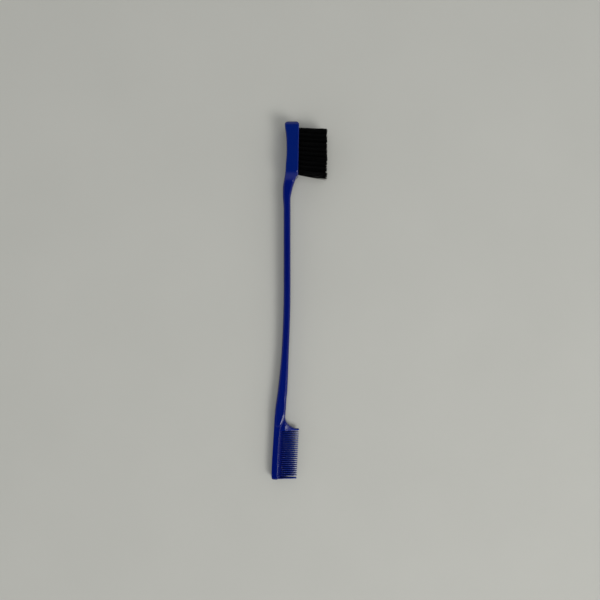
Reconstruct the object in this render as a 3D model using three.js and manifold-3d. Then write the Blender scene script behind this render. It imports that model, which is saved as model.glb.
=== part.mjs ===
// Two-ended hair brush: a slim one-piece moulded handle with a fine-toothed comb at one end and, at the
// other, a head carrying three staggered columns of black nylon tufts. Each tuft is folded over a flat
// metal anchor that is driven into the walls of its blind hole. The brush lies on its side, on the head
// and the comb.
//
// Design frame, before the brush is laid down: +X is the way the teeth and the bristles point, +Y runs
// from the comb's end to the head, and Z runs across the brush with the mould's parting plane at Z = 0.
// Lengths are in millimetres.

import * as THREE from "three";
import { mergeVertices } from "three/addons/utils/BufferGeometryUtils.js";
import Module from "manifold-3d";

// ---- Driving dimensions ----

const OVERALL_LENGTH = 170;

// Comb: fine teeth between two stouter guard teeth. The whole comb leans back as it nears its end.
const FINE_TEETH = 22;
const TOOTH_PITCH = 0.987;
const ROOT_GAP = 0.25; // between two teeth at their roots, on the parting plane
const TOOTH_TIP_WIDTH = 0.44;
const TOOTH_POINT_LENGTH = 0.3; // the last stretch of a tooth, which narrows to its rounded end
const TOOTH_POINTING = 0.1; // taken off each side of a tooth over its point
const TIP_SHARE = 0.45; // the end of a tooth, as a share of its thickness where the point begins
const ROOT_DRAFT = 0.13; // each side leans in by this much from the parting plane to the tooth's face
const TIP_DRAFT = 0.05;
const MOST_DRAFT = 0.4; // the most that a side may lean in, as a share of the tooth's width
const TOOTH_BURIED = 0.8; // how far the teeth's roots run into the spine
const GUARD_WIDTH = 1.0; // the guard tooth at the comb's end
const INNER_GUARD_WIDTH = 0.72; // the guard tooth next to the handle
const GUARD_TO_TOOTH = 0.88; // from a guard tooth's side to the middle of the fine tooth beside it
const COMB_LEAN = 0.049; // sideways travel of the comb's edges for each millimetre towards the handle
const SPINE_BACK = -7.5; // X of the spine's back edge at the comb's end
const SPINE_WIDTH = 2.9;
const TOOTH_REACH = 9.1; // from the spine's inner edge to the tooth tips
const COMB_HALF_THICKNESS = 2.2;
const BLADE_ROOT_HALF = 1.8; // the toothed blade stands a little lower than the spine
const BLADE_TIP_HALF = 0.6;
const NOSE_LENGTH = 1.75; // the floor of each gap is a pointed nose, this long
const SPINE_CORNER_RADIUS = 1.6; // seen along Z
const SPINE_TOE_RADIUS = 0.9; // the comb's end, seen along X
const END_CUT = 0.9; // share of an end's rounding that is used, so that a small flat is left
const GUARD_BEVEL = 0.4; // the end guard tooth's outer side leans in by this much instead
const WEB_RADIUS = 6.15; // the round inside corner between the comb and the handle
const WEB_EDGE_RADIUS = 1.0;
const WEB_EDGE_TURN = 65; // degrees of its edge's rounding that the web has
const WEB_STEP = 0.05; // the web lies this far under the handle's flat
const WEB_BURIED = 1.2; // how far the web runs into the handle
const WEB_TIP_HALF = 0.7; // half its thickness where it thins to the inner guard tooth
const WEB_TIP_LENGTH = 0.4; // the last stretch, which thins and rounds off as the teeth's points do
const WEB_TIP_ROUNDING = 0.25;

// Handle: a straight shaft that bends back and deepens into the comb.
const MOST_ROUND = 0.49; // the largest edge radius, as a share of the section's depth or width
const SHAFT_DEPTH = 3.25; // along X
const SHAFT_WIDTH = 6.2; // along Z
const ROOT_WIDTH = 5.4; // along Z, where the shaft runs into the comb
const SHAFT_EDGE_RADIUS = 1.15;
const ROOT_STEP_START = 0.6; // from the comb, where the shaft's side steps up from the comb's
const ROOT_STEP_END = 4.6;
const ROOT_EDGE_FULL = 6; // past the end of the bend, where the shaft's edges are fully rounded
const BEND_START = 92; // from the comb's end
const BEND_END = 33;
const BEND_BACK = -5.8; // X of the handle's back edge at the end of the bend
const BEND_FRONT = -0.95; // X of its front edge there, which the web's arc runs into

// Where the bend's two edges are steered along Y, and how far from their ends' lines they lie there.
const BEND_FOOT = 4.5; // from the end of the bend
const BEND_KNEE = 10;
const BEND_MIDDLE = 29;
const BEND_LEAD = 10; // from its start
const FOOT_FRONT_RISE = 0.55; // past BEND_FRONT
const KNEE_FRONT_RISE = 1.05;
const KNEE_BACK_RISE = 1.35; // past BEND_BACK
const MIDDLE_FRONT_SAG = 0.78; // short of the straight shaft's edges
const MIDDLE_BACK_SAG = 0.98;
const LEAD_FRONT_SAG = 0.1;
const LEAD_BACK_SAG = 0.14;

// Head and neck. The head's length and width follow from its tufts.
const TUFT_ROWS = 10; // in each outer column; the middle column is staggered and holds one less
const TUFT_PITCH = 2.14; // along Y
const COLUMN_PITCH = 3.0; // along Z
const HOLE_RADIUS = 0.85;
const HOLE_DEPTH = 3.4;
const HOLE_TO_END = 3.55; // from the last tuft's centre to the head's end
const HOLE_TO_SHOULDER = 0.7; // from the first tuft's centre to the shoulder, less than a radius
const COLUMN_TO_SIDE = 2.3; // from the outer columns' centres to the head's sides
const HEAD_FRONT = 5.32; // X of the front face at the shoulder
const HEAD_TILT = 0.0215; // rise of the front face for each millimetre towards the head's end
const HEAD_BACK_END = -0.98; // X of the back at the head's end, at its waist and at the shoulder
const HEAD_BACK_WAIST = -0.12;
const HEAD_BACK_ROOT = -0.7;
const HEAD_EDGE_RADIUS = 0.6;
const HEAD_CORNER_RADIUS = 1.9; // seen along Z
const HEAD_END_RADIUS = 2.5; // seen along X
const SHOULDER_LENGTH = 4.8; // where the head narrows along Z into the neck
const NECK_WIDTH = 5.2; // along Z, at its narrowest
const NECK_LENGTH = 13; // from the shoulder to the straight shaft
const NECK_BACK = -2.02; // X of the back edge where the neck swells
const NECK_BLEND = 5; // before the neck, where its back leaves the shaft's line
const NECK_FULL = 2.8; // into the neck, where its back is furthest out
const THROAT = 7.6; // before the shoulder, where both edges turn towards the head
const THROAT_BACK_RISE = 0.04;
const THROAT_FRONT_RISE = 0.94;
const CHIN = 2.7; // before the shoulder, on the steep front of the throat
const CHIN_DROP = 1.05; // from the head's front face
const LIP = 1.1; // the stretch before the shoulder that is level with the head's front face
const ROOT_LENGTH = 3; // the head's back, from the shoulder on
const ROOT_RISE = 0.18;
const WAIST_SHARE = 0.6; // of the head's length, from its end
const WAIST_END = 7.5; // from the head's end
const WAIST_FALL = 0.12;
const HEAD_END_FLAT = 1.6;
const HEAD_SWELL_START = 0.3; // before the shoulder, where the head is nearly at its full width
const HEAD_SWELL_END = 0.5; // after it
const HEAD_SWELL_REST = 0.2;

// Tufts and their anchors.
const TIP_PLANE = 19.1; // X at which the bristles are trimmed
const TIP_FAN = 1.036; // the tufts fan out: their pitch along Y at the tips, over that of the holes
const TIP_GAP = 0.177; // between the tips of two tufts in a column
const TIP_DROP = 1.4; // how far the block of tips leans towards the comb
const TIP_COLUMN_SPREAD = 0.2; // added to the columns' pitch at the tips
const TIP_COLUMN_GAP = 0.4; // between the tips of two columns
const TIP_ROUNDING = 0.45;
const TIP_CROWN = 0.72; // the trimmed end's width, over the tuft's widest
const MOUTH_RISE = 0.1; // how far a tuft stands straight out of its hole before it fans out
const TUFT_CLEARANCE = 0.03; // between a tuft and its hole
const ANCHOR_THICKNESS = 0.28; // along Y
const ANCHOR_BITE = 0.175; // how far each end of an anchor goes into the hole's wall
const ANCHOR_HEIGHT = 1.4; // along X
const ANCHOR_CORNER = 0.2;
const ANCHOR_CLEARANCE = 0.04;
const FOLD_THICKNESS = 0.35; // bristle folded under the anchor, on the hole's floor

// Facets.
const CORNER_STEPS = 3;
const HOLE_SIDES = 16;
const TUFT_SIDES = 12;
const WEB_STEPS = 10;
const FLARE_STEPS = 3;
const CUT_MARGIN = 1; // how far a cutter reaches past what it cuts
const MERGE_DISTANCE = 1e-4;

// ---- Derived sizes ----

const TOOTH_ROOT_WIDTH = TOOTH_PITCH - ROOT_GAP;
const FIRST_TOOTH = GUARD_WIDTH + GUARD_TO_TOOTH;
const LAST_TOOTH = FIRST_TOOTH + (FINE_TEETH - 1) * TOOTH_PITCH;
const INNER_GUARD_LOW = LAST_TOOTH + GUARD_TO_TOOTH;
const COMB_LENGTH = INNER_GUARD_LOW + INNER_GUARD_WIDTH;
const WEB_CENTRE_Y = COMB_LENGTH + WEB_RADIUS;

const TUFT_SPAN = (TUFT_ROWS - 1) * TUFT_PITCH;
const HEAD_LENGTH = HOLE_TO_SHOULDER + TUFT_SPAN + HOLE_TO_END;
const SHOULDER = OVERALL_LENGTH - HEAD_LENGTH;
const HEAD_HALF_WIDTH = COLUMN_PITCH + COLUMN_TO_SIDE;
const FIRST_TUFT = SHOULDER + HOLE_TO_SHOULDER;
const HALF_SHAFT = SHAFT_DEPTH / 2;
const NECK_START = SHOULDER - NECK_LENGTH;

const TIP_PITCH = TIP_FAN * TUFT_PITCH;
const TIP_RADIUS_Y = (TIP_PITCH - TIP_GAP) / 2;
const TIP_COLUMN_PITCH = COLUMN_PITCH + TIP_COLUMN_SPREAD;
const TIP_RADIUS_Z = (TIP_COLUMN_PITCH - TIP_COLUMN_GAP) / 2;
const ANCHOR_WIDTH = 2 * (HOLE_RADIUS + ANCHOR_BITE);

const spineBack = (y) => SPINE_BACK + COMB_LEAN * y;
const spineInner = (y) => spineBack(y) + SPINE_WIDTH;
const toothTip = (y) => spineInner(y) + TOOTH_REACH;

const wasm = await Module();
wasm.setup();

// ---- Solids and geometries ----

/** A closed geometry as a manifold-3d solid. */
function solidOf(geometry) {
  const bare = geometry.clone();
  bare.deleteAttribute("normal");
  bare.deleteAttribute("uv");
  const merged = mergeVertices(bare, MERGE_DISTANCE);
  return new wasm.Manifold(
    new wasm.Mesh({
      numProp: 3,
      vertProperties: new Float32Array(merged.attributes.position.array),
      triVerts: new Uint32Array(merged.index.array),
    }),
  );
}

/** A manifold-3d solid as a geometry with flat facets. */
function geometryOf(solid) {
  const mesh = solid.getMesh();
  const positions = [];
  for (const v of mesh.triVerts) {
    const at = v * mesh.numProp;
    positions.push(...mesh.vertProperties.subarray(at, at + 3));
  }
  const geometry = new THREE.BufferGeometry();
  geometry.setAttribute("position", new THREE.Float32BufferAttribute(positions, 3));
  geometry.computeVertexNormals();
  return geometry;
}

/** A skin over rings of points that all have the same count, closed by a fan at each end. */
function loft(rings) {
  const count = rings[0].length;
  const points = rings.flat();
  const index = [];
  for (let r = 0; r + 1 < rings.length; r++) {
    for (let k = 0; k < count; k++) {
      const a = r * count + k;
      const b = r * count + ((k + 1) % count);
      index.push(a, b, a + count, b, b + count, a + count);
    }
  }
  const last = (rings.length - 1) * count;
  for (let k = 1; k + 1 < count; k++) {
    index.push(0, k + 1, k);
    index.push(last, last + k, last + k + 1);
  }
  const geometry = new THREE.BufferGeometry().setFromPoints(points);
  geometry.setIndex(index);
  return geometry;
}

/** A plan outline in X and Y, made into a slab centred on the parting plane. */
function slab(shape, halfThickness) {
  const geometry = new THREE.ExtrudeGeometry(shape, { depth: 2 * halfThickness, bevelEnabled: false });
  geometry.translate(0, 0, -halfThickness);
  return solidOf(geometry);
}

/** A smooth curve through [position, value] knots that never overshoots them (Fritsch and Carlson). */
function profile(knots) {
  const steps = knots.slice(1).map(([y, v], i) => [y - knots[i][0], v - knots[i][1]]);
  const slopes = knots.map((_, i) => {
    const before = steps[i - 1];
    const after = steps[i];
    if (!before || !after || before[1] * after[1] <= 0) return 0;
    const [hb, ha] = [before[0], after[0]];
    const [sb, sa] = [before[1] / hb, after[1] / ha];
    return (3 * (hb + ha)) / ((2 * ha + hb) / sb + (ha + 2 * hb) / sa);
  });
  return (y) => {
    if (y <= knots[0][0]) return knots[0][1];
    const i = steps.findIndex((_, k) => y <= knots[k + 1][0]);
    if (i < 0) return knots[knots.length - 1][1];
    const [h, rise] = steps[i];
    const t = (y - knots[i][0]) / h;
    const eased = t * t * (3 - 2 * t);
    return knots[i][1] + rise * eased + h * t * (1 - t) * ((1 - t) * slopes[i] - t * slopes[i + 1]);
  };
}

/** A rounded rectangle in the XZ plane at height y, wound so that a loft towards +Y faces out. */
function section(y, back, front, half, radius) {
  const r = Math.min(radius, MOST_ROUND * (front - back), MOST_ROUND * 2 * half);
  const corners = [
    [front - r, half - r, 0],
    [back + r, half - r, 1],
    [back + r, r - half, 2],
    [front - r, r - half, 3],
  ];
  const points = [];
  for (const [x, z, quarter] of corners) {
    for (let k = 0; k <= CORNER_STEPS; k++) {
      const angle = (quarter + k / CORNER_STEPS) * (Math.PI / 2);
      points.push(new THREE.Vector3(x + r * Math.cos(angle), y, z + r * Math.sin(angle)));
    }
  }
  return points.reverse();
}

/** Evenly spaced values that start with the first one given and stop short of the second. */
function evenly(from, to, count) {
  return Array.from({ length: count }, (_, i) => from + ((to - from) * i) / count);
}

/** How far a quarter round of this radius has curved in, at a distance from the end it leads to. */
function roundedEnd(radius, distance) {
  const t = Math.min(1, Math.max(0, 1 - distance / radius));
  return radius * (1 - Math.sqrt(1 - t * t));
}

// ---- The moulded handle ----

const fromEnd = (distance) => OVERALL_LENGTH - distance;

const backEdge = profile([
  [0, spineBack(0)],
  [COMB_LENGTH, spineBack(COMB_LENGTH)],
  [BEND_END, BEND_BACK],
  [BEND_END + BEND_KNEE, BEND_BACK + KNEE_BACK_RISE],
  [BEND_END + BEND_MIDDLE, -HALF_SHAFT - MIDDLE_BACK_SAG],
  [BEND_START - BEND_LEAD, -HALF_SHAFT - LEAD_BACK_SAG],
  [BEND_START, -HALF_SHAFT],
  [NECK_START - NECK_BLEND, -HALF_SHAFT],
  [NECK_START + NECK_FULL, NECK_BACK],
  [SHOULDER - THROAT, NECK_BACK + THROAT_BACK_RISE],
  [SHOULDER, HEAD_BACK_ROOT],
  [SHOULDER + ROOT_LENGTH, HEAD_BACK_ROOT + ROOT_RISE],
  [fromEnd(WAIST_SHARE * HEAD_LENGTH), HEAD_BACK_WAIST],
  [fromEnd(WAIST_END), HEAD_BACK_WAIST - WAIST_FALL],
  [fromEnd(HEAD_END_FLAT), HEAD_BACK_END],
  [OVERALL_LENGTH, HEAD_BACK_END],
]);

const handleFront = profile([
  [0, spineInner(0)],
  [INNER_GUARD_LOW, spineInner(INNER_GUARD_LOW)],
  [WEB_CENTRE_Y, BEND_FRONT],
  [BEND_END + BEND_FOOT, BEND_FRONT + FOOT_FRONT_RISE],
  [BEND_END + BEND_KNEE, BEND_FRONT + KNEE_FRONT_RISE],
  [BEND_END + BEND_MIDDLE, HALF_SHAFT - MIDDLE_FRONT_SAG],
  [BEND_START - BEND_LEAD, HALF_SHAFT - LEAD_FRONT_SAG],
  [BEND_START, HALF_SHAFT],
  [NECK_START, HALF_SHAFT],
  [SHOULDER - THROAT, HALF_SHAFT + THROAT_FRONT_RISE],
  [SHOULDER - CHIN, HEAD_FRONT - CHIN_DROP],
  [SHOULDER - LIP, HEAD_FRONT],
  [SHOULDER, HEAD_FRONT],
]);

const headFront = (y) => HEAD_FRONT + HEAD_TILT * Math.max(0, y - SHOULDER);
const frontEdge = (y) => (y < SHOULDER ? handleFront(y) : headFront(y));

const halfWidth = profile([
  [0, COMB_HALF_THICKNESS],
  [COMB_LENGTH + ROOT_STEP_START, COMB_HALF_THICKNESS],
  [COMB_LENGTH + ROOT_STEP_END, ROOT_WIDTH / 2],
  [BEND_START, SHAFT_WIDTH / 2],
  [NECK_START, SHAFT_WIDTH / 2],
  [SHOULDER - SHOULDER_LENGTH, NECK_WIDTH / 2],
  [SHOULDER - HEAD_SWELL_START, HEAD_HALF_WIDTH - HEAD_SWELL_REST],
  [SHOULDER + HEAD_SWELL_END, HEAD_HALF_WIDTH],
  [OVERALL_LENGTH, HEAD_HALF_WIDTH],
]);

const edgeRadius = profile([
  [0, HEAD_EDGE_RADIUS],
  [COMB_LENGTH, HEAD_EDGE_RADIUS],
  [BEND_END + ROOT_EDGE_FULL, SHAFT_EDGE_RADIUS],
  [SHOULDER - SHOULDER_LENGTH, SHAFT_EDGE_RADIUS],
  [SHOULDER + HEAD_SWELL_END, HEAD_EDGE_RADIUS],
  [OVERALL_LENGTH, HEAD_EDGE_RADIUS],
]);

/** Spine, shaft, neck and head as one skin. */
function spineToHead() {
  const stations = [
    ...evenly(0, SPINE_CORNER_RADIUS, 5),
    ...evenly(SPINE_CORNER_RADIUS, INNER_GUARD_LOW, 5),
    ...evenly(INNER_GUARD_LOW, BEND_END + BEND_FOOT, 10),
    ...evenly(BEND_END + BEND_FOOT, BEND_START, 12),
    ...evenly(BEND_START, NECK_START, 6),
    ...evenly(NECK_START, SHOULDER - SHOULDER_LENGTH, 8),
    ...evenly(SHOULDER - SHOULDER_LENGTH, SHOULDER, 9),
    ...evenly(SHOULDER, fromEnd(HEAD_END_RADIUS), 10),
    ...evenly(fromEnd(HEAD_END_RADIUS), OVERALL_LENGTH, 7),
    OVERALL_LENGTH,
  ];
  const rings = stations.map((y) => {
    const left = fromEnd(y);
    const corner = Math.min(roundedEnd(HEAD_CORNER_RADIUS, left), END_CUT * HEAD_CORNER_RADIUS);
    const end = Math.min(roundedEnd(HEAD_END_RADIUS, left), END_CUT * HEAD_END_RADIUS);
    const back = backEdge(y) + corner + END_CUT * roundedEnd(SPINE_CORNER_RADIUS, y);
    const toe = roundedEnd(SPINE_TOE_RADIUS, y);
    return section(y, back, frontEdge(y) - corner, halfWidth(y) - end - toe, edgeRadius(y));
  });
  return solidOf(loft(rings));
}

/** A slab whose half thickness changes with X, leaning with the comb from one Y to another. */
function leaningWedge(knots, low, high) {
  const across = (y) => {
    const upper = knots.map(([x, half]) => new THREE.Vector3(x + spineInner(y), y, half));
    const lower = knots.map(([x, half]) => new THREE.Vector3(x + spineInner(y), y, -half));
    return [...upper, ...lower.reverse()];
  };
  return solidOf(loft([across(low), across(high)]));
}

/** The pointed floor of the gaps between the teeth. */
function combNose() {
  const across = (y) => [
    new THREE.Vector3(spineInner(y) - TOOTH_BURIED, y, BLADE_ROOT_HALF),
    new THREE.Vector3(spineInner(y) + NOSE_LENGTH, y, 0),
    new THREE.Vector3(spineInner(y) - TOOTH_BURIED, y, -BLADE_ROOT_HALF),
  ];
  return solidOf(loft([across(GUARD_WIDTH / 2), across(INNER_GUARD_LOW + INNER_GUARD_WIDTH / 2)]));
}

/** A tooth given by its sides' Y at the root and how far each side closes in on the way to the tip. */
function tooth(low, high, slimLow, slimHigh, lowBevel = 0) {
  const middle = (low + high) / 2;
  const root = spineInner(middle);
  const tip = toothTip(middle);
  const stretches = [
    [root - TOOTH_BURIED, 0, 0, BLADE_ROOT_HALF],
    [root, 0, 0, BLADE_ROOT_HALF],
    [tip - TOOTH_POINT_LENGTH, 1, 0, BLADE_TIP_HALF],
    [tip, 1, TOOTH_POINTING, TIP_SHARE * BLADE_TIP_HALF],
  ];
  const rings = stretches.map(([x, slimmed, pointed, half]) => {
    const a = low + slimmed * slimLow + pointed;
    const b = high - slimmed * slimHigh - pointed;
    const draft = THREE.MathUtils.lerp(ROOT_DRAFT, TIP_DRAFT, slimmed);
    const most = MOST_DRAFT * (b - a);
    const lowFace = a + Math.min(Math.max(draft, lowBevel), most);
    const highFace = b - Math.min(draft, most);
    const corners = [
      [b, 0],
      [highFace, half],
      [lowFace, half],
      [a, 0],
      [lowFace, -half],
      [highFace, -half],
    ];
    return corners.map(([y, z]) => new THREE.Vector3(x, y, z));
  });
  return solidOf(loft(rings));
}

/** The end guard tooth, flush with the comb's end, and the fine teeth. */
function combTeeth() {
  const slim = (TOOTH_ROOT_WIDTH - TOOTH_TIP_WIDTH) / 2;
  const teeth = [tooth(0, GUARD_WIDTH, 0, slim, GUARD_BEVEL)];
  for (let i = 0; i < FINE_TEETH; i++) {
    const centre = FIRST_TOOTH + i * TOOTH_PITCH;
    teeth.push(tooth(centre - TOOTH_ROOT_WIDTH / 2, centre + TOOTH_ROOT_WIDTH / 2, slim, slim));
  }
  return teeth;
}

/** The round cutter for the web's inside corner, which flares at both faces to round the web's edges. */
function webCutter() {
  const straight = COMB_HALF_THICKNESS - WEB_STEP - WEB_EDGE_RADIUS;
  const above = [];
  for (let k = 0; k <= FLARE_STEPS; k++) {
    const angle = THREE.MathUtils.degToRad((WEB_EDGE_TURN * k) / FLARE_STEPS);
    const out = WEB_EDGE_RADIUS * (1 - Math.cos(angle));
    above.push(new THREE.Vector2(WEB_RADIUS + out, straight + WEB_EDGE_RADIUS * Math.sin(angle)));
  }
  above.push(new THREE.Vector2(WEB_RADIUS + WEB_EDGE_RADIUS, COMB_HALF_THICKNESS + CUT_MARGIN));
  above.push(new THREE.Vector2(0, COMB_HALF_THICKNESS + CUT_MARGIN));
  const below = above.map((point) => new THREE.Vector2(point.x, -point.y)).reverse();
  const geometry = new THREE.LatheGeometry([...below, ...above], 4 * WEB_STEPS);
  geometry.rotateX(Math.PI / 2);
  geometry.translate(BEND_FRONT + WEB_RADIUS, WEB_CENTRE_Y, 0);
  return solidOf(geometry);
}

/** The web in the inside corner, as thick as the spine and thinning to the inner guard tooth's tip. */
function combWeb() {
  const tip = toothTip(COMB_LENGTH);
  const full = COMB_HALF_THICKNESS - WEB_STEP;
  const plan = new THREE.Shape();
  plan.moveTo(spineInner(INNER_GUARD_LOW) - WEB_BURIED, INNER_GUARD_LOW);
  plan.lineTo(tip - WEB_TIP_ROUNDING, INNER_GUARD_LOW);
  plan.quadraticCurveTo(tip, INNER_GUARD_LOW, tip, INNER_GUARD_LOW + WEB_TIP_LENGTH);
  plan.lineTo(tip, WEB_CENTRE_Y);
  plan.lineTo(BEND_FRONT - WEB_BURIED, WEB_CENTRE_Y);
  const wedge = leaningWedge(
    [
      [-WEB_BURIED - CUT_MARGIN, full],
      [BEND_FRONT - spineInner(COMB_LENGTH), full],
      [TOOTH_REACH - WEB_TIP_LENGTH, WEB_TIP_HALF],
      [TOOTH_REACH, TIP_SHARE * WEB_TIP_HALF],
    ],
    INNER_GUARD_LOW - CUT_MARGIN,
    WEB_CENTRE_Y + CUT_MARGIN,
  );
  return slab(plan, COMB_HALF_THICKNESS).intersect(wedge).subtract(webCutter());
}

// ---- Tufts, their holes and anchors ----

/** Where each tuft stands: its Y, its column (-1, 0 or 1) and its row counted from the middle. */
function tuftPlaces() {
  const places = [];
  for (const column of [-1, 0, 1]) {
    const rows = column ? TUFT_ROWS : TUFT_ROWS - 1;
    for (let i = 0; i < rows; i++) {
      const row = i - (rows - 1) / 2;
      places.push({ column, row, y: FIRST_TUFT + TUFT_SPAN / 2 + row * TUFT_PITCH });
    }
  }
  return places;
}

/** A round or oval ring of points across the X direction. */
function ring(x, y, z, radiusY, radiusZ, sides) {
  return Array.from({ length: sides }, (_, k) => {
    const angle = (2 * Math.PI * (k + 0.5)) / sides;
    return new THREE.Vector3(x, y + radiusY * Math.cos(angle), z + radiusZ * Math.sin(angle));
  });
}

function roundBar(fromX, toX, y, z, radius, sides) {
  const ends = [fromX, toX].map((x) => ring(x, y, z, radius, radius, sides));
  return solidOf(loft(ends));
}

const floorOf = (place) => frontEdge(place.y) - HOLE_DEPTH;

/** A flat anchor with its driven end's corners cut, grown on every side by a clearance. */
function anchor(place, grow) {
  const low = floorOf(place) + FOLD_THICKNESS - grow;
  const high = floorOf(place) + FOLD_THICKNESS + ANCHOR_HEIGHT + grow;
  const half = ANCHOR_WIDTH / 2 + grow;
  const z = place.column * COLUMN_PITCH;
  const outline = new THREE.Shape();
  outline.moveTo(low, z - half + ANCHOR_CORNER);
  outline.lineTo(low + ANCHOR_CORNER, z - half);
  outline.lineTo(high, z - half);
  outline.lineTo(high, z + half);
  outline.lineTo(low + ANCHOR_CORNER, z + half);
  outline.lineTo(low, z + half - ANCHOR_CORNER);
  const thickness = ANCHOR_THICKNESS + 2 * grow;
  const geometry = new THREE.ExtrudeGeometry(outline, { depth: thickness, bevelEnabled: false });
  geometry.rotateX(Math.PI / 2);
  geometry.translate(0, place.y + thickness / 2, 0);
  return solidOf(geometry);
}

/** A tuft's outer shape: straight in its hole, then fanning out to where it is trimmed. */
function tuft(place) {
  const z = place.column * COLUMN_PITCH;
  const inHole = HOLE_RADIUS - TUFT_CLEARANCE;
  const face = frontEdge(place.y) + MOUTH_RISE;
  const tipY = FIRST_TUFT + TUFT_SPAN / 2 + place.row * TIP_PITCH - TIP_DROP;
  const tipZ = place.column * TIP_COLUMN_PITCH;
  const shaped = loft([
    ring(floorOf(place) + ANCHOR_CLEARANCE, place.y, z, inHole, inHole, TUFT_SIDES),
    ring(face, place.y, z, inHole, inHole, TUFT_SIDES),
    ring(TIP_PLANE - TIP_ROUNDING, tipY, tipZ, TIP_RADIUS_Y, TIP_RADIUS_Z, TUFT_SIDES),
    ring(TIP_PLANE, tipY, tipZ, TIP_CROWN * TIP_RADIUS_Y, TIP_CROWN * TIP_RADIUS_Z, TUFT_SIDES),
  ]);
  return solidOf(shaped).subtract(anchor(place, ANCHOR_CLEARANCE));
}

/** The blind hole for a tuft, with the two nicks that its anchor's ends cut in the wall. */
function tuftHole(place) {
  const z = place.column * COLUMN_PITCH;
  const above = frontEdge(place.y) + CUT_MARGIN;
  const bore = roundBar(floorOf(place), above, place.y, z, HOLE_RADIUS, HOLE_SIDES);
  return bore.add(anchor(place, ANCHOR_CLEARANCE));
}

// ---- Materials ----

const bluePlastic = new THREE.MeshStandardMaterial({ color: 0x021c66, roughness: 0.28, metalness: 0 });
const blackNylon = new THREE.MeshStandardMaterial({ color: 0x050506, roughness: 0.45, metalness: 0 });
const nickelSilver = new THREE.MeshStandardMaterial({ color: 0xb8ad8a, roughness: 0.35, metalness: 1 });

function part(name, solid, material) {
  const mesh = new THREE.Mesh(geometryOf(solid), material);
  mesh.name = name;
  return mesh;
}

// ---- The brush ----

const places = tuftPlaces();
const moulding = wasm.Manifold.union([spineToHead(), combNose(), combWeb(), ...combTeeth()]);
const handle = moulding.subtract(wasm.Manifold.union(places.map(tuftHole)));

const lying = new THREE.Group();
lying.add(part("comb_handle", handle, bluePlastic));
places.forEach((place, i) => {
  const number = String(i + 1).padStart(2, "0");
  lying.add(part(`bristle_tuft_${number}`, tuft(place), blackNylon));
  lying.add(part(`tuft_anchor_${number}`, anchor(place, 0), nickelSilver));
});

// Laid on its side, the brush tips until the comb's end and the head's shoulder both touch the table.
const tip = Math.atan((HEAD_HALF_WIDTH - COMB_HALF_THICKNESS) / (SHOULDER - HEAD_EDGE_RADIUS));
lying.rotation.x = tip;

// The origin is the middle of the bounding box's underside.
const brush = new THREE.Group();
brush.add(lying);
const box = new THREE.Box3().setFromObject(brush, true);
const centre = box.getCenter(new THREE.Vector3());
lying.position.set(-centre.x, -centre.y, -box.min.z);

export default brush;
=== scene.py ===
"""A two-ended hair brush lying on its side: a glossy blue handle with a comb, and a head of black nylon tufts.

Shapes are worked out in the brush's own design frame, in millimetres: +X is the way the teeth and the bristles
point, +Y runs from the comb's end to the head, and the mould's parting plane is Z = 0. PLACING turns them into the
frame's metres.
"""

import math
import random

import bmesh
import bpy
from mathutils import Matrix, Vector


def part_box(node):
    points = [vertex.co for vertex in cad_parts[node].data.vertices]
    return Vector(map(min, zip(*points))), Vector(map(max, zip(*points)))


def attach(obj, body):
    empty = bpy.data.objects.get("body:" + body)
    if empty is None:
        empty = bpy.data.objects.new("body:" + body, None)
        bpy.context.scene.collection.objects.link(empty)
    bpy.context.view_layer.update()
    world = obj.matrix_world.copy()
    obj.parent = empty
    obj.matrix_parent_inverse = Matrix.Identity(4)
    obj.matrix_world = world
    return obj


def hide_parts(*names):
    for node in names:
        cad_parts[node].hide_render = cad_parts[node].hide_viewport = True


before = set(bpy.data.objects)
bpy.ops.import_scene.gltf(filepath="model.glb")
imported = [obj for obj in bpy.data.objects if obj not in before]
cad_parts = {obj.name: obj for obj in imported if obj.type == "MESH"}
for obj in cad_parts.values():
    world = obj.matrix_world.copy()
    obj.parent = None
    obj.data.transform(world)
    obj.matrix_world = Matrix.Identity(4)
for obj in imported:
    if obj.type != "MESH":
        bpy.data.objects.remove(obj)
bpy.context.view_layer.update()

# ---- Driving dimensions, in millimetres ----

OVERALL_LENGTH = 170

FINE_TEETH = 22
TOOTH_PITCH = 0.987
ROOT_GAP = 0.25
TOOTH_TIP_WIDTH = 0.44
ROOT_DRAFT = 0.13
TIP_DRAFT = 0.05
TOOTH_EDGE = 0.06
TOOTH_POINT_LENGTH = 0.42
GUARD_WIDTH = 1.0
GUARD_BEVEL = 0.4
INNER_GUARD_WIDTH = 0.72
GUARD_TO_TOOTH = 0.88
COMB_LEAN = 0.049
SPINE_BACK = -7.5
SPINE_WIDTH = 2.9
TOOTH_REACH = 9.1
TOOTH_BURIED = 0.8
COMB_HALF_THICKNESS = 2.2
BLADE_ROOT_HALF = 1.8
BLADE_TIP_HALF = 0.6
NOSE_LENGTH = 1.75
SPINE_CORNER_RADIUS = 1.6
SPINE_TOE_RADIUS = 0.9
SPINE_EDGE_RADIUS = 0.22
WEB_RADIUS = 6.15
WEB_EDGE_RADIUS = 0.4
WEB_BURIED = 0.6
WEB_STEP = 0.02
WEB_TIP_RISE = 0.1
WEB_TIP_LENGTH = 0.35
END_CUT = 0.9

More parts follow.
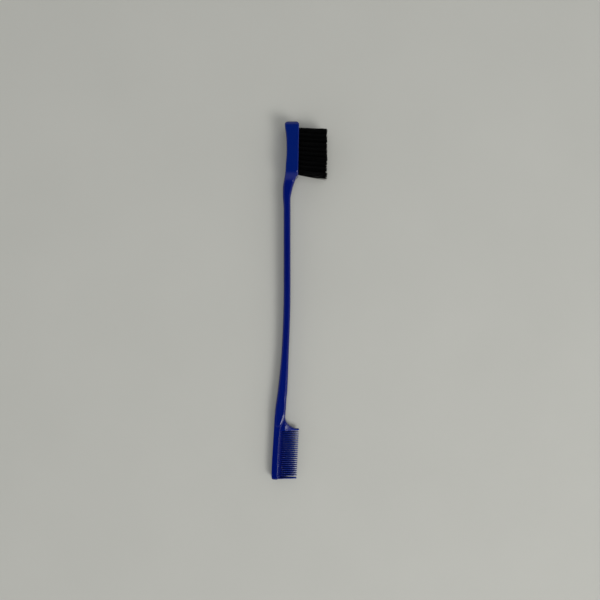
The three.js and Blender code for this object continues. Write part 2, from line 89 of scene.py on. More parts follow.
SHAFT_DEPTH = 3.25
SHAFT_WIDTH = 6.2
ROOT_WIDTH = 5.4
SHAFT_EDGE_RADIUS = 1.15
BEND_START = 92
BEND_END = 33
BEND_BACK = -5.8
BEND_FRONT = -0.95
BEND_FOOT = 4.5
BEND_KNEE = 10
BEND_MIDDLE = 29
BEND_LEAD = 10
FOOT_FRONT_RISE = 0.55
KNEE_FRONT_RISE = 1.05
KNEE_BACK_RISE = 1.35
MIDDLE_FRONT_SAG = 0.78
MIDDLE_BACK_SAG = 0.98
LEAD_FRONT_SAG = 0.1
LEAD_BACK_SAG = 0.14
ROOT_STEP_START = 0.6
ROOT_STEP_END = 4.6
ROOT_FULL = 14
ROOT_SAG = 0.1
ROOT_EDGE_FULL = 6

TUFT_ROWS = 10
TUFT_PITCH = 2.14
COLUMN_PITCH = 3.0
HOLE_RADIUS = 0.85
HOLE_DEPTH = 3.4
HOLE_MOUTH = 0.12
HOLE_TO_END = 3.55
HOLE_TO_SHOULDER = 0.7
COLUMN_TO_SIDE = 2.3
HEAD_FRONT = 5.32
HEAD_TILT = 0.0215
HEAD_BACK_END = -0.98
HEAD_BACK_WAIST = -0.12
HEAD_BACK_ROOT = -0.7
HEAD_EDGE_RADIUS = 0.6
HEAD_CORNER_RADIUS = 1.9
HEAD_END_RADIUS = 2.5
HEAD_END_FLAT = 1.6
HEAD_ROOT_LENGTH = 3
HEAD_ROOT_RISE = 0.18
WAIST_SHARE = 0.6
WAIST_END = 7.5
WAIST_FALL = 0.12
HEAD_SWELL_START = 0.3
HEAD_SWELL_END = 0.5
HEAD_SWELL_REST = 0.2
SHOULDER_LENGTH = 4.8
NECK_WIDTH = 5.2
NECK_LENGTH = 13
NECK_BACK = -2.02
NECK_BLEND = 5
NECK_FULL = 2.8
THROAT = 7.6
THROAT_BACK_RISE = 0.04
THROAT_FRONT_RISE = 0.94
CHIN = 2.7
CHIN_DROP = 1.05
LIP = 1.1

TIP_PLANE = 19.1
TIP_FAN = 1.036
TIP_OVERLAP = 0.35
TIP_DROP = 1.4
TIP_WANDER = 0.12
FILAMENT_WANDER = 0.16
FILAMENT_BOW = 0.07
FILAMENT_UNEVEN = 0.09
FILAMENT_TO_WALL = 0.03
TIP_COLUMN_SPREAD = 0.2
TIP_COLUMN_GAP = -0.2
FOLD_THICKNESS = 0.35
ANCHOR_HEIGHT = 1.4

FILAMENT_RADIUS = 0.1
FILAMENT_SPACING = 2.05 * FILAMENT_RADIUS
FILAMENT_SIDES = 6
FILAMENT_STATIONS = 8
TRIM_UNEVEN = 1.15
CLUMP_WIDTH = 0.6
CLUMP_DEPTH = 4.5
TRIM_CORNER_RADIUS = 1.5
STRAY_SHARE = 0.25
STRAY_REACH = 1.1

PARTING_HEIGHT = 0.03
PARTING_HALF_WIDTH = 0.1
CORNER_STEPS = 7
FLAT_STEPS = 14
TONGUE_HEIGHT = 0.2
TONGUE_END = 25.7
TONGUE_HALF_WIDTH = 1.15
TONGUE_SOFTNESS = 0.4
TONGUE_WIDENING = 12
TONGUE_FADE_START = 9
TONGUE_FADE_LENGTH = 20

SEED = 7

# ---- Metres ----

FLOOR_REACH = 6.0
FLOOR_CLEARANCE = 0.00005

# ---- Sizes worked out from them ----

TOOTH_ROOT_WIDTH = TOOTH_PITCH - ROOT_GAP
FIRST_TOOTH = GUARD_WIDTH + GUARD_TO_TOOTH
LAST_TOOTH = FIRST_TOOTH + (FINE_TEETH - 1) * TOOTH_PITCH
INNER_GUARD_LOW = LAST_TOOTH + GUARD_TO_TOOTH
COMB_LENGTH = INNER_GUARD_LOW + INNER_GUARD_WIDTH
WEB_CENTRE_Y = COMB_LENGTH + WEB_RADIUS
TUFT_SPAN = (TUFT_ROWS - 1) * TUFT_PITCH
HEAD_LENGTH = HOLE_TO_SHOULDER + TUFT_SPAN + HOLE_TO_END
SHOULDER = OVERALL_LENGTH - HEAD_LENGTH
HEAD_HALF_WIDTH = COLUMN_PITCH + COLUMN_TO_SIDE
FIRST_TUFT = SHOULDER + HOLE_TO_SHOULDER
NECK_START = SHOULDER - NECK_LENGTH
NECK_END = SHOULDER - SHOULDER_LENGTH
HALF_SHAFT = SHAFT_DEPTH / 2
TUFT_MIDDLE = FIRST_TUFT + TUFT_SPAN / 2
TIP_PITCH = TIP_FAN * TUFT_PITCH
TIP_COLUMN_PITCH = COLUMN_PITCH + TIP_COLUMN_SPREAD
LYING_TILT = math.atan((HEAD_HALF_WIDTH - COMB_HALF_THICKNESS) / (SHOULDER - HEAD_EDGE_RADIUS))


def spine_back(y):
    return SPINE_BACK + COMB_LEAN * y


def spine_inner(y):
    return spine_back(y) + SPINE_WIDTH


def tooth_tip(y):
    return spine_inner(y) + TOOTH_REACH


def from_end(distance):
    return OVERALL_LENGTH - distance


def lerp(a, b, t):
    return a + (b - a) * t


def smooth(t):
    t = min(1.0, max(0.0, t))
    return t * t * (3 - 2 * t)


def rounded_end(radius, distance):
    """How far a quarter round has curved in, at a distance from the end that it leads to."""
    t = min(1.0, max(0.0, 1 - distance / radius))
    return radius * (1 - math.sqrt(1 - t * t))


def profile(knots):
    """A smooth curve through (position, value) knots that never overshoots them."""
    steps = [(b[0] - a[0], b[1] - a[1]) for a, b in zip(knots, knots[1:])]
    slopes = [0.0] * len(knots)
    for i in range(1, len(steps)):
        (hb, vb), (ha, va) = steps[i - 1], steps[i]
        if va * vb > 0:
            slopes[i] = 3 * (hb + ha) / ((2 * ha + hb) / (vb / hb) + (ha + 2 * hb) / (va / ha))

    def at(y):
        if y <= knots[0][0]:
            return knots[0][1]
        if y >= knots[-1][0]:
            return knots[-1][1]
        i = next(k for k in range(len(steps)) if y <= knots[k + 1][0])
        h, rise = steps[i]
        t = (y - knots[i][0]) / h
        bulge = (1 - t) * slopes[i] - t * slopes[i + 1]
        return knots[i][1] + rise * t * t * (3 - 2 * t) + h * t * (1 - t) * bulge

    return at


back_edge = profile([
    (0, spine_back(0)),
    (COMB_LENGTH, spine_back(COMB_LENGTH)),
    (BEND_END, BEND_BACK),
    (BEND_END + BEND_KNEE, BEND_BACK + KNEE_BACK_RISE),
    (BEND_END + BEND_MIDDLE, -HALF_SHAFT - MIDDLE_BACK_SAG),
    (BEND_START - BEND_LEAD, -HALF_SHAFT - LEAD_BACK_SAG),
    (BEND_START, -HALF_SHAFT),
    (NECK_START - NECK_BLEND, -HALF_SHAFT),
    (NECK_START + NECK_FULL, NECK_BACK),
    (SHOULDER - THROAT, NECK_BACK + THROAT_BACK_RISE),
    (SHOULDER, HEAD_BACK_ROOT),
    (SHOULDER + HEAD_ROOT_LENGTH, HEAD_BACK_ROOT + HEAD_ROOT_RISE),
    (from_end(WAIST_SHARE * HEAD_LENGTH), HEAD_BACK_WAIST),
    (from_end(WAIST_END), HEAD_BACK_WAIST - WAIST_FALL),
    (from_end(HEAD_END_FLAT), HEAD_BACK_END),
    (OVERALL_LENGTH, HEAD_BACK_END),
])

handle_front = profile([
    (0, spine_inner(0)),
    (INNER_GUARD_LOW, spine_inner(INNER_GUARD_LOW)),
    (WEB_CENTRE_Y, BEND_FRONT),
    (BEND_END + BEND_FOOT, BEND_FRONT + FOOT_FRONT_RISE),
    (BEND_END + BEND_KNEE, BEND_FRONT + KNEE_FRONT_RISE),
    (BEND_END + BEND_MIDDLE, HALF_SHAFT - MIDDLE_FRONT_SAG),
    (BEND_START - BEND_LEAD, HALF_SHAFT - LEAD_FRONT_SAG),
    (BEND_START, HALF_SHAFT),
    (NECK_START, HALF_SHAFT),
    (SHOULDER - THROAT, HALF_SHAFT + THROAT_FRONT_RISE),
    (SHOULDER - CHIN, HEAD_FRONT - CHIN_DROP),
    (SHOULDER - LIP, HEAD_FRONT),
    (SHOULDER, HEAD_FRONT),
])

half_width = profile([
    (0, COMB_HALF_THICKNESS),
    (COMB_LENGTH + ROOT_STEP_START, COMB_HALF_THICKNESS),
    (COMB_LENGTH + ROOT_STEP_END, ROOT_WIDTH / 2 - TONGUE_HEIGHT),
    (COMB_LENGTH + ROOT_FULL, ROOT_WIDTH / 2 - ROOT_SAG),
    (BEND_START, SHAFT_WIDTH / 2),
    (NECK_START, SHAFT_WIDTH / 2),
    (NECK_END, NECK_WIDTH / 2),
    (SHOULDER - HEAD_SWELL_START, HEAD_HALF_WIDTH - HEAD_SWELL_REST),
    (SHOULDER + HEAD_SWELL_END, HEAD_HALF_WIDTH),
    (OVERALL_LENGTH, HEAD_HALF_WIDTH),
])

edge_radius = profile([
    (0, SPINE_EDGE_RADIUS),
    (COMB_LENGTH, SPINE_EDGE_RADIUS),
    (BEND_END + ROOT_EDGE_FULL, SHAFT_EDGE_RADIUS),
    (NECK_END, SHAFT_EDGE_RADIUS),
    (SHOULDER + 1, HEAD_EDGE_RADIUS),
    (OVERALL_LENGTH, HEAD_EDGE_RADIUS),
])


def front_edge(y):
    return handle_front(y) if y < SHOULDER else HEAD_FRONT + HEAD_TILT * (y - SHOULDER)


def tuft_places():
    """(column, row counted from the middle, Y) of each tuft, in the order of the CAD nodes' numbers."""
    places = []
    for column in (-1, 0, 1):
        rows = TUFT_ROWS if column else TUFT_ROWS - 1
        for i in range(rows):
            row = i - (rows - 1) / 2
            places.append((column, row, TUFT_MIDDLE + row * TUFT_PITCH))
    return places


def hole_floor(y):
    return front_edge(y) - HOLE_DEPTH


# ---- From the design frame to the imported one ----


def placing():
    """The matrix from design millimetres to the frame's metres, found from where the first anchor lies."""
    low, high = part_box("tuft_anchor_01")
    middle = (Vector(low) + Vector(high)) / 2
    column, _, y = tuft_places()[0]
    x = hole_floor(y) + FOLD_THICKNESS + ANCHOR_HEIGHT / 2
    turned = Matrix.Rotation(LYING_TILT, 4, "X") @ Matrix.Scale(0.001, 4)
    return Matrix.Translation(middle - turned @ Vector((x, y, column * COLUMN_PITCH))) @ turned


PLACING = placing()


def mesh_object(name, vertices, faces):
    """A new object from design-frame points."""
    mesh = bpy.data.meshes.new(name)
    mesh.from_pydata([tuple(v) for v in vertices], [], faces)
    mesh.validate()
    made = bpy.data.objects.new(name, mesh)
    bpy.context.scene.collection.objects.link(made)
    return made


def loft(rings):
    """Vertices and faces of a closed skin over rings that all run anticlockwise about the way they advance."""
    count = len(rings[0])
    vertices = [point for ring in rings for point in ring]
    faces = [tuple(reversed(range(count)))]
    for r in range(len(rings) - 1):
        for k in range(count):
            a, b = r * count + k, r * count + (k + 1) % count
            faces.append((a, b, b + count, a + count))
    last = (len(rings) - 1) * count
    faces.append(tuple(range(last, last + count)))
    return vertices, faces


def joined(name, solids):
    """One object from several (vertices, faces)."""
    vertices, faces = [], []
    for more_vertices, more_faces in solids:
        start = len(vertices)
        vertices += more_vertices
        faces += [tuple(start + i for i in face) for face in more_faces]
    return mesh_object(name, vertices, faces)


def apply_boolean(target, tool, operation):
    """Joins tool to target or cuts it away, and removes tool."""
    change = target.modifiers.new("cut", "BOOLEAN")
    change.operation = operation
    change.solver = "EXACT"
    change.object = tool
    bpy.context.view_layer.update()
    evaluated = target.evaluated_get(bpy.context.evaluated_depsgraph_get())
    mesh = bpy.data.meshes.new_from_object(evaluated)
    target.modifiers.clear()
    old = target.data
    target.data = mesh
    bpy.data.meshes.remove(old)
    bpy.data.objects.remove(tool)


# ---- The moulded handle ----


def tongue(x, y, back, front):
    """How far the shaft's rounded end stands above the comb's plate, where it runs out on it."""
    middle = (back + front) / 2
    spread = lerp(TONGUE_HALF_WIDTH, (front - back) / 2, smooth((y - TONGUE_END) / TONGUE_WIDENING))
    across = abs(x - middle)
    along = y - TONGUE_END - spread
    inside = spread - (math.hypot(across, along) if along < 0 else across)
    fading = 1 - smooth((y - TONGUE_END - TONGUE_FADE_START) / TONGUE_FADE_LENGTH)
    return TONGUE_HEIGHT * smooth(inside / TONGUE_SOFTNESS + 0.5) * fading


def section(y, back, front, half, radius):
    """A rounded rectangle with a fine parting line on its front and back, anticlockwise about +Y."""
    r = min(radius, 0.49 * (front - back), 0.9 * half)
    fine = min(PARTING_HALF_WIDTH, 0.3 * (half - r))
    points = []
    top, low = half - r, r - half
    corners = ((front - r, top, 0), (back + r, top, 1), (back + r, low, 2), (front - r, low, 3))
    for index, (cx, cz, quarter) in enumerate(corners):
        for k in range(CORNER_STEPS + 1):
            angle = (quarter + k / CORNER_STEPS) * math.pi / 2
            points.append([cx + r * math.cos(angle), cz + r * math.sin(angle)])
        if index in (0, 2):
            # Across the flat side, between two corners.
            to_x = back + r if index == 0 else front - r
            z = half if index == 0 else -half
            for k in range(1, FLAT_STEPS):
                points.append([lerp(cx, to_x, k / FLAT_STEPS), z])
        else:
            # Down the back or the front, over the parting line.
            x = back if index == 1 else front
            out = -PARTING_HEIGHT if index == 1 else PARTING_HEIGHT
            sign = 1 if index == 1 else -1
            points += [[x, sign * fine], [x + out, 0], [x, -sign * fine]]
    ring = []
    for x, z in reversed(points):
        lift = tongue(x, y, back, front) if TONGUE_END - 2 < y < TONGUE_END + 30 else 0
        ring.append((x, y, z + math.copysign(lift, z) if abs(z) > half - r else z))
    return ring


def stations():
    """The Y of each ring of the handle, close together where its shape changes fast."""
    stretches = (
        (0, SPINE_CORNER_RADIUS, 14),
        (SPINE_CORNER_RADIUS, INNER_GUARD_LOW, 10),
        (INNER_GUARD_LOW, TONGUE_END + 8, 44),
        (TONGUE_END + 8, BEND_END + 12, 16),
        (BEND_END + 12, BEND_START, 40),
        (BEND_START, NECK_START - 6, 10),
        (NECK_START - 6, NECK_END - 2, 26),
        (NECK_END - 2, SHOULDER + 1, 44),
        (SHOULDER + 1, from_end(HEAD_END_RADIUS), 30),
        (from_end(HEAD_END_RADIUS), from_end(0.5), 12),
        (from_end(0.5), OVERALL_LENGTH, 12),
    )
    ys = [lerp(a, b, i / n) for a, b, n in stretches for i in range(n)]
    return ys + [OVERALL_LENGTH]


def spine_to_head():
    rings = []
    for y in stations():
        left = from_end(y)
        corner = min(rounded_end(HEAD_CORNER_RADIUS, left), END_CUT * HEAD_CORNER_RADIUS)
        end = min(rounded_end(HEAD_END_RADIUS, left), END_CUT * HEAD_END_RADIUS)
        back = back_edge(y) + corner + END_CUT * rounded_end(SPINE_CORNER_RADIUS, y)
        toe = rounded_end(SPINE_TOE_RADIUS, y)
        front, half = front_edge(y) - corner, half_width(y) - end - toe
        rings.append(section(y, back, front, half, edge_radius(y)))
    return loft(rings)


def tooth_ring(x, low, high, half, low_draft, high_draft):
    """A tooth's outline across X: widest on the parting plane, with softened edges at both faces."""
    width = high - low
    low_face = low + min(low_draft, 0.4 * width)
    high_face = high - min(high_draft, 0.4 * width)
    edge = min(TOOTH_EDGE, 0.35 * (high_face - low_face), 0.45 * half)
    upper = [(high, 0), (lerp(high, high_face, 0.8), 0.8 * (half - edge)), (high_face, half - edge)]
    for k in (1, 2, 3):
        angle = k / 3 * math.pi / 2
        upper.append((high_face - edge * (1 - math.cos(angle)), half - edge + edge * math.sin(angle)))
    for k in (0, 1, 2, 3):
        angle = (1 - k / 3) * math.pi / 2
        upper.append((low_face + edge * (1 - math.cos(angle)), half - edge + edge * math.sin(angle)))
    upper += [(lerp(low, low_face, 0.8), 0.8 * (half - edge)), (low, 0)]
    lower = [(y, -z) for y, z in reversed(upper[1:-1])]
    return [(x, y, z) for y, z in upper + lower]


def tooth(low, high, slim_low, slim_high, low_bevel=0.0):
    """A tooth that narrows and thins towards a rounded point."""
    middle = (low + high) / 2
    root, tip = spine_inner(middle), tooth_tip(middle)
    straight = tip - TOOTH_POINT_LENGTH
    places = [(root - TOOTH_BURIED, 0, 1), (root, 0, 1)]
    places += [(lerp(root, straight, k / 6), k / 6, 1) for k in range(1, 7)]
    for k in range(1, 6):
        t = k / 5 * 0.985
        places.append((straight + TOOTH_POINT_LENGTH * t, 1, math.sqrt(1 - t * t) * 0.8 + 0.2 * (1 - t)))
    rings = []
    for x, t, full in places:
        a, b = low + t * slim_low, high - t * slim_high
        centre, reach = (a + b) / 2, (b - a) / 2 * full
        half = lerp(BLADE_ROOT_HALF, BLADE_TIP_HALF, t) * full
        draft = lerp(ROOT_DRAFT, TIP_DRAFT, t) * full
        low_draft = max(draft, low_bevel * full)
        rings.append(tooth_ring(x, centre - reach, centre + reach, half, low_draft, draft))
    return loft(rings)


def comb_teeth():
    slim = (TOOTH_ROOT_WIDTH - TOOTH_TIP_WIDTH) / 2
    teeth = [tooth(0, GUARD_WIDTH, 0, slim, GUARD_BEVEL)]
    for i in range(FINE_TEETH):
        centre = FIRST_TOOTH + i * TOOTH_PITCH
        teeth.append(tooth(centre - TOOTH_ROOT_WIDTH / 2, centre + TOOTH_ROOT_WIDTH / 2, slim, slim))
    return teeth


def comb_nose():
    """The pointed floor of the gaps between the teeth."""

    def across(y):
        x = spine_inner(y)
        upper = [(-TOOTH_BURIED, 1), (0, 0.98), (0.45, 0.68), (0.8, 0.32), (0.95, 0.12)]
        top = [(x + a * (NOSE_LENGTH if a > 0 else 1), y, b * BLADE_ROOT_HALF) for a, b in upper]
        point = (x + NOSE_LENGTH, y, 0)
        return top + [point] + [(a, b, -c) for a, b, c in reversed(top)]

    low, high = GUARD_WIDTH / 2, INNER_GUARD_LOW + GUARD_WIDTH / 2
    return loft([across(lerp(low, high, k / 4)) for k in range(5)])


def web_half(x):
    """The web's half thickness, which falls from the handle to the inner guard tooth's tip."""
    tip = tooth_tip(COMB_LENGTH)
    t = (x - BEND_FRONT) / (tip - BEND_FRONT)
    return lerp(COMB_HALF_THICKNESS - WEB_STEP, BLADE_TIP_HALF + WEB_TIP_RISE, min(1.0, max(0.0, t)))


def comb_web():
    """The web in the inside corner, as columns from the inner guard tooth's side up to the arc."""
    tip = tooth_tip(COMB_LENGTH)
    centre = BEND_FRONT + WEB_RADIUS
    start = spine_inner(INNER_GUARD_LOW) - WEB_BURIED
    xs = [lerp(start, BEND_FRONT, k / 4) for k in range(4)]
    xs += [BEND_FRONT + (tip - BEND_FRONT) * (k / 40) ** 1.5 for k in range(41)]
    rings = []
    for x in xs:
        if x <= BEND_FRONT:
            top = WEB_CENTRE_Y
        else:
            top = WEB_CENTRE_Y - math.sqrt(max(0.0, WEB_RADIUS**2 - (x - centre) ** 2))
        closing = rounded_end(WEB_TIP_LENGTH, tip - x)
        low = INNER_GUARD_LOW + closing * 0.5
        half = web_half(x) - closing * 0.8
        edge = min(WEB_EDGE_RADIUS, 0.45 * (top - low), 0.8 * half)
        small = min(TOOTH_EDGE, 0.3 * edge)
        outline = [(low, 0), (low, half - small), (low + small, half)]
        for k in range(8):
            angle = (1 - k / 7) * math.pi / 2
            outline.append((top - edge * (1 - math.cos(angle)), half - edge * (1 - math.sin(angle))))
        outline.append((top, 0))
        under = [(y, -z) for y, z in reversed(outline[1:-1])]
        rings.append([(x, y, z) for y, z in reversed(outline + under)])
    return loft(rings)


def round_ring(x, y, z, radius_y, radius_z, sides):
    ring = []
    for k in range(sides):
        angle = 2 * math.pi * (k + 0.5) / sides
        ring.append((x, y + radius_y * math.cos(angle), z + radius_z * math.sin(angle)))
    return ring


def tuft_hole(y, z):
    """A blind hole with a softened mouth."""
    face = front_edge(y)
    rings = []
    for x, radius in (
        (face - HOLE_DEPTH, HOLE_RADIUS),
        (face - HOLE_MOUTH, HOLE_RADIUS),
        (face - 0.4 * HOLE_MOUTH, HOLE_RADIUS + 0.25 * HOLE_MOUTH),
        (face + HOLE_MOUTH, HOLE_RADIUS + 1.2 * HOLE_MOUTH),
    ):
        rings.append(round_ring(x, y, z, radius, radius, 32))
    return loft(rings)


def smooth_by_angle(piece, degrees):
    """Smooth faces with sharp edges where two of them meet at more than this angle."""
    limit = math.radians(degrees)
    work = bmesh.new()
    work.from_mesh(piece.data)
    for face in work.faces:
        face.smooth = True
    for edge in work.edges:
        edge.smooth = len(edge.link_faces) == 2 and edge.calc_face_angle(0) < limit
    work.to_mesh(piece.data)
    work.free()


def make_handle():
    handle = mesh_object("handle", *spine_to_head())
    apply_boolean(handle, mesh_object("nose", *comb_nose()), "UNION")
    apply_boolean(handle, mesh_object("web", *comb_web()), "UNION")
    apply_boolean(handle, joined("teeth", comb_teeth()), "UNION")
    holes = [tuft_hole(y, column * COLUMN_PITCH) for column, _, y in tuft_places()]
    apply_boolean(handle, joined("holes", holes), "DIFFERENCE")
    handle.data.transform(PLACING)
    smooth_by_angle(handle, 32)
    weighted = handle.modifiers.new("normals", "WEIGHTED_NORMAL")
    weighted.keep_sharp = True
    return handle


# ---- Tufts of nylon filament ----


def packing(radius, spacing):
    """Points of a hexagonal grid within a circle."""
    points = []
    reach = int(radius / spacing) + 2
    for i in range(-reach, reach + 1):
        for j in range(-reach, reach + 1):
            y = (i + 0.5 * (j % 2)) * spacing
            z = j * spacing * math.sqrt(3) / 2
            if math.hypot(y, z) <= radius:
                points.append((y, z))
    return points


def filament(start, end, bow, chance):
    """One filament from its root to its cut tip, bowed a little between."""
    rings = []
    for k in range(FILAMENT_STATIONS):
        t = k / (FILAMENT_STATIONS - 1)
        x = lerp(start[0], end[0], t)
        spread = t**0.75
        swing = math.sin(math.pi * t)
        y = lerp(start[1], end[1], spread) + bow[0] * swing
        z = lerp(start[2], end[2], spread) + bow[1] * swing
        rings.append(round_ring(x, y, z, FILAMENT_RADIUS, FILAMENT_RADIUS, FILAMENT_SIDES))
    tip = [(x + chance.uniform(0, 0.05), y, z) for x, y, z in rings[-1]]
    rings[-1] = tip
    return loft(rings)


def clump_trim(y, z):
    """How much shorter than the longest filaments the clump at this place was trimmed."""
    clump = f"{SEED} {round(y / CLUMP_WIDTH)} {round(z / CLUMP_DEPTH)}"
    return TRIM_UNEVEN * random.Random(clump).random() ** 1.3


def make_tuft(number, column, row, y):
    chance = random.Random(SEED * 1000 + number)
    z = column * COLUMN_PITCH
    tip_y = TUFT_MIDDLE + row * TIP_PITCH - TIP_DROP + chance.uniform(-TIP_WANDER, TIP_WANDER)
    tip_z = column * TIP_COLUMN_PITCH
    reach_y = (TIP_PITCH + TIP_OVERLAP) / 2
    reach_z = (TIP_COLUMN_PITCH - TIP_COLUMN_GAP) / 2
    inner = HOLE_RADIUS - FILAMENT_RADIUS - FILAMENT_TO_WALL
    block_end = TUFT_MIDDLE + (TUFT_ROWS - 1) / 2 * TIP_PITCH - TIP_DROP + reach_y
    first_row = row == (1 - TUFT_ROWS) / 2
    solids = []
    for dy, dz in packing(inner, FILAMENT_SPACING):
        ry, rz = dy / inner, dz / inner
        wander = chance.gauss(0, FILAMENT_WANDER), chance.gauss(0, FILAMENT_WANDER)
        end_y = tip_y + ry * (reach_y - FILAMENT_RADIUS) + wander[0]
        end_z = tip_z + rz * (reach_z - FILAMENT_RADIUS) + wander[1]
        if first_row and chance.random() < STRAY_SHARE:
            end_y -= chance.uniform(0.3, 1) * STRAY_REACH
        short = abs(chance.gauss(0, FILAMENT_UNEVEN)) + clump_trim(end_y, end_z)
        short += rounded_end(TRIM_CORNER_RADIUS, block_end - end_y)
        end = (TIP_PLANE - short, end_y, end_z)
        start = (hole_floor(y) + FOLD_THICKNESS + ANCHOR_HEIGHT + 0.1, y + dy, z + dz)
        bow = (chance.gauss(0, FILAMENT_BOW), chance.gauss(0, FILAMENT_BOW))
        solids.append(filament(start, end, bow, chance))
    tuft = joined(f"tuft_{number:02d}", solids)
    tuft.data.transform(PLACING)
    smooth_by_angle(tuft, 50)
    return tuft


# ---- Materials ----


class Nodes:
    """A short way to write a material's node tree."""

    def __init__(self, name):
        self.material = bpy.data.materials.new(name)
        self.material.use_nodes = True
        self.tree = self.material.node_tree
        self.shader = self.tree.nodes["Principled BSDF"]
        self.place = self.add("ShaderNodeTexCoord").outputs["Object"]

    def add(self, kind, **settings):
        node = self.tree.nodes.new(kind)
        for key, value in settings.items():
            setattr(node, key, value)
        return node

    def link(self, a, b):
        self.tree.links.new(a, b)

    def set(self, **values):
        for key, value in values.items():
            self.shader.inputs[key.replace("_", " ")].default_value = value

    def stretched(self, scale):
        """Object coordinates in millimetres times a scale for each axis."""
        mapping = self.add("ShaderNodeMapping")
        mapping.inputs["Scale"].default_value = [1000 * s for s in scale]
        self.link(self.place, mapping.inputs["Vector"])
        return mapping.outputs["Vector"]

    def noise(self, scale, detail=3, roughness=0.5):
        noise = self.add("ShaderNodeTexNoise")
        noise.inputs["Scale"].default_value = 1
        noise.inputs["Detail"].default_value = detail
        noise.inputs["Roughness"].default_value = roughness
        self.link(self.stretched(scale), noise.inputs["Vector"])
        return noise.outputs["Fac"]

    def mapped(self, value, low, high, to_low, to_high):
        ranged = self.add("ShaderNodeMapRange")
        for key, number in (("From Min", low), ("From Max", high), ("To Min", to_low), ("To Max", to_high)):
            ranged.inputs[key].default_value = number
        self.link(value, ranged.inputs["Value"])
        return ranged.outputs["Result"]

    def mixed(self, factor, first, second):
        mix = self.add("ShaderNodeMix", data_type="RGBA")
        self.link(factor, mix.inputs[0])
        for socket, colour in ((mix.inputs[6], first), (mix.inputs[7], second)):
            if isinstance(colour, tuple):
                socket.default_value = (*colour, 1)
            else:
                self.link(colour, socket)
        return mix.outputs[2]

    def bump(self, height, distance, strength=1.0, after=None):
        bump = self.add("ShaderNodeBump")
        bump.inputs["Distance"].default_value = distance / 1000
        bump.inputs["Strength"].default_value = strength
        self.link(height, bump.inputs["Height"])
        if after:
            self.link(after, bump.inputs["Normal"])
        return bump.outputs["Normal"]


def blue_plastic():
    """Glossy moulded plastic: a slight flow pattern, fine rubbing marks, an almost flat moulded skin, a painted
    reflection on the head and a painted glow at the tooth tips.
    """
    nodes = Nodes("blue_plastic")
    flow = nodes.noise((0.12, 0.03, 0.12), detail=2)
    shade = nodes.mapped(flow, 0.35, 0.65, 0, 1)
    body = nodes.mixed(shade, (0.0001, 0.0046, 0.118), (0.0002, 0.0062, 0.134))
    axes = nodes.add("ShaderNodeSeparateXYZ")
    nodes.link(nodes.place, axes.inputs[0])
    # Painted reflection: the head is coloured a shade paler than the shaft, standing in for the light its flat
    # side reflects.
    painted_head_sheen = nodes.mapped(axes.outputs["Y"], 0.0585, 0.0625, 0, 1)
    body = nodes.mixed(painted_head_sheen, body, (0.0006, 0.0105, 0.136))
    # Painted glow: the slender tooth tips are coloured paler, standing in for light let through them. They lie
    # beyond the spine, at the comb's end.
    reach = nodes.mapped(axes.outputs["X"], -0.0092, 0.0003, 0, 1)
    at_comb = nodes.mapped(axes.outputs["Y"], -0.0590, -0.0620, 0, 1)
    painted_tip_glow = nodes.add("ShaderNodeMath", operation="MULTIPLY")
    nodes.link(reach, painted_tip_glow.inputs[0])
    nodes.link(at_comb, painted_tip_glow.inputs[1])
    nodes.link(nodes.mixed(painted_tip_glow.outputs[0], body, (0.0012, 0.022, 0.22)), nodes.shader.inputs["Base Color"])
    rubbed = nodes.noise((3.0, 0.25, 3.0), detail=6, roughness=0.65)
    glossy = nodes.mapped(rubbed, 0.3, 0.75, 0.08, 0.17)
    # The steep sides between the comb's teeth are matt.
    facing = nodes.add("ShaderNodeSeparateXYZ")
    nodes.link(nodes.add("ShaderNodeNewGeometry").outputs["True Normal"], facing.inputs[0])
    upright = nodes.add("ShaderNodeMath", operation="ABSOLUTE")
    nodes.link(facing.outputs["Z"], upright.inputs[0])
    steep = nodes.mapped(upright.outputs[0], 0.5, 0.25, 0, 0.8)
    between = nodes.add("ShaderNodeMath", operation="MULTIPLY")
    nodes.link(steep, between.inputs[0])
    nodes.link(at_comb, between.inputs[1])
    rough = nodes.add("ShaderNodeMath", operation="MAXIMUM")
    nodes.link(glossy, rough.inputs[0])
    nodes.link(between.outputs[0], rough.inputs[1])
    nodes.link(rough.outputs[0], nodes.shader.inputs["Roughness"])
    ripple = nodes.noise((0.35, 0.2, 0.35), detail=1)
    skin = nodes.noise((5, 5, 5), detail=3)
    rippled = nodes.bump(ripple, 0.012, 0.5)
    nodes.link(nodes.bump(skin, 0.0012, 0.5, after=rippled), nodes.shader.inputs["Normal"])
    nodes.set(IOR=1.49, Specular_IOR_Level=0.3)
    return nodes.material


def black_nylon():
    """Extruded nylon: each filament its own shade and its own roughness, and faint lengthwise streaks."""
    nodes = Nodes("black_nylon")
    each = nodes.add("ShaderNodeNewGeometry").outputs["Random Per Island"]
    streak = nodes.noise((0.15, 9, 9), detail=2)
    tone = nodes.mixed(streak, (0.0001, 0.0002, 0.0003), (0.0009, 0.0010, 0.0012))
    nodes.link(nodes.mixed(each, tone, (0.0005, 0.0006, 0.0007)), nodes.shader.inputs["Base Color"])
    nodes.link(nodes.mapped(each, 0, 1, 0.3, 0.46), nodes.shader.inputs["Roughness"])
    nodes.link(nodes.bump(streak, 0.01, 0.5), nodes.shader.inputs["Normal"])
    nodes.set(IOR=1.53, Specular_IOR_Level=0.05)
    return nodes.material


def nickel_silver():
    """Drawn flat wire with fine lines along it."""
    nodes = Nodes("nickel_silver")
    drawn = nodes.noise((14, 14, 0.8), detail=3)
    tone = nodes.mixed(drawn, (0.52, 0.47, 0.33), (0.66, 0.61, 0.46))
    nodes.link(tone, nodes.shader.inputs["Base Color"])
    nodes.link(nodes.mapped(drawn, 0.3, 0.7, 0.28, 0.45), nodes.shader.inputs["Roughness"])
    nodes.set(Metallic=1.0)
    return nodes.material


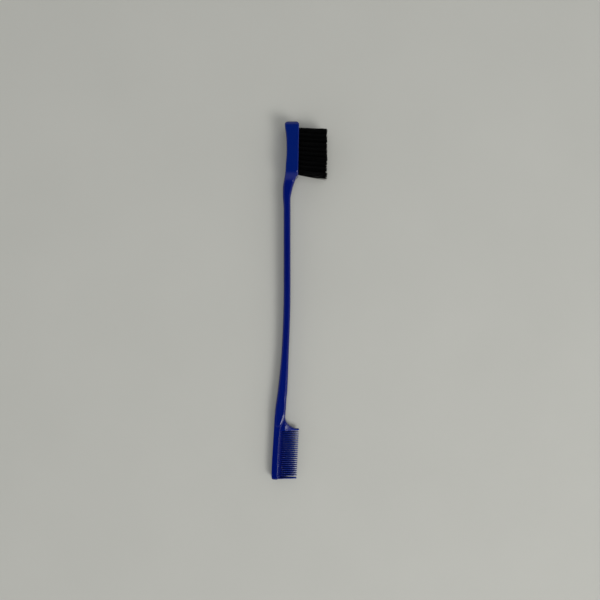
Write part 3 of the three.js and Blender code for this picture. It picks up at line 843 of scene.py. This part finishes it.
def pale_floor():
    nodes = Nodes("pale_floor")
    cloud = nodes.noise((0.02, 0.02, 0.02), detail=5)
    tone = nodes.mixed(cloud, (0.477, 0.480, 0.447), (0.513, 0.515, 0.481))
    nodes.link(tone, nodes.shader.inputs["Base Color"])
    nodes.link(nodes.bump(nodes.noise((0.5, 0.5, 0.5), detail=5), 0.12, 0.35), nodes.shader.inputs["Normal"])
    nodes.set(Roughness=0.85, Specular_IOR_Level=0.2)
    return nodes.material


# ---- Floor, light and camera ----


def make_floor():
    """A square that reaches far enough to hide its edge from a low camera."""
    far = FLOOR_REACH
    corners = [(-far, -far, 0), (far, -far, 0), (far, far, 0), (-far, far, 0)]
    floor = mesh_object("floor", corners, [(0, 1, 2, 3)])
    floor.location.z = -FLOOR_CLEARANCE
    floor.data.materials.append(pale_floor())


def area_light(name, place, size, power, tint, mirrored=True):
    """A square soft lamp that looks at the middle of the object, and may be kept out of reflections."""
    data = bpy.data.lights.new(name, "AREA")
    data.size = size
    data.energy = power
    data.color = tint
    lamp = bpy.data.objects.new(name, data)
    lamp.location = place
    lamp.rotation_euler = (-Vector(place)).to_track_quat("-Z", "Y").to_euler()
    lamp.visible_glossy = mirrored
    bpy.context.scene.collection.objects.link(lamp)


def light_the_room():
    area_light("window", (0.65, -0.62, 1.0), 0.55, 9.0, (1.0, 0.99, 0.97))
    area_light("ceiling", (0.0, 0.0, 1.3), 1.0, 4.6, (0.99, 1.0, 1.0), mirrored=False)
    world = bpy.data.worlds.new("room")
    bpy.context.scene.world = world
    world.use_nodes = True
    tree = world.node_tree
    background = tree.nodes["Background"]
    # The room is pale near the floor and dim above.
    place = tree.nodes.new("ShaderNodeTexCoord").outputs["Generated"]
    axes = tree.nodes.new("ShaderNodeSeparateXYZ")
    tree.links.new(place, axes.inputs[0])
    ramp = tree.nodes.new("ShaderNodeValToRGB")
    heights = ((0.0, 0.75), (0.30, 0.75), (0.60, 0.45), (0.80, 0.15), (0.93, 0.0))
    stops = ramp.color_ramp.elements
    while len(stops) < len(heights):
        stops.new(0.5)
    for stop, (height, grey) in zip(stops, heights):
        stop.position = height
        stop.color = (grey, grey, grey, 1)
    tree.links.new(axes.outputs["Z"], ramp.inputs["Fac"])
    tree.links.new(ramp.outputs["Color"], background.inputs["Color"])


def make_camera():
    """Looks straight down from 291.2 mm above the surface, a little off the middle of the object."""
    data = bpy.data.cameras.new("camera")
    data.sensor_width = 36
    data.lens = 36.06
    camera = bpy.data.objects.new("camera", data)
    camera.location = (0.000343, 0.000959, 0.2912)
    bpy.context.scene.collection.objects.link(camera)
    bpy.context.scene.camera = camera


# ---- The brush ----


def build():
    plastic, nylon, metal = blue_plastic(), black_nylon(), nickel_silver()
    handle = make_handle()
    handle.data.materials.append(plastic)
    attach(handle, "root")
    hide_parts("comb_handle")
    for number, (column, row, y) in enumerate(tuft_places(), 1):
        tuft = make_tuft(number, column, row, y)
        tuft.data.materials.append(nylon)
        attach(tuft, "root")
        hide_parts(f"bristle_tuft_{number:02d}")
        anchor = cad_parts[f"tuft_anchor_{number:02d}"]
        for held in anchor.material_slots:
            held.material = metal


make_camera()
light_the_room()
make_floor()
build()
bpy.context.scene.view_settings.view_transform = "Standard"
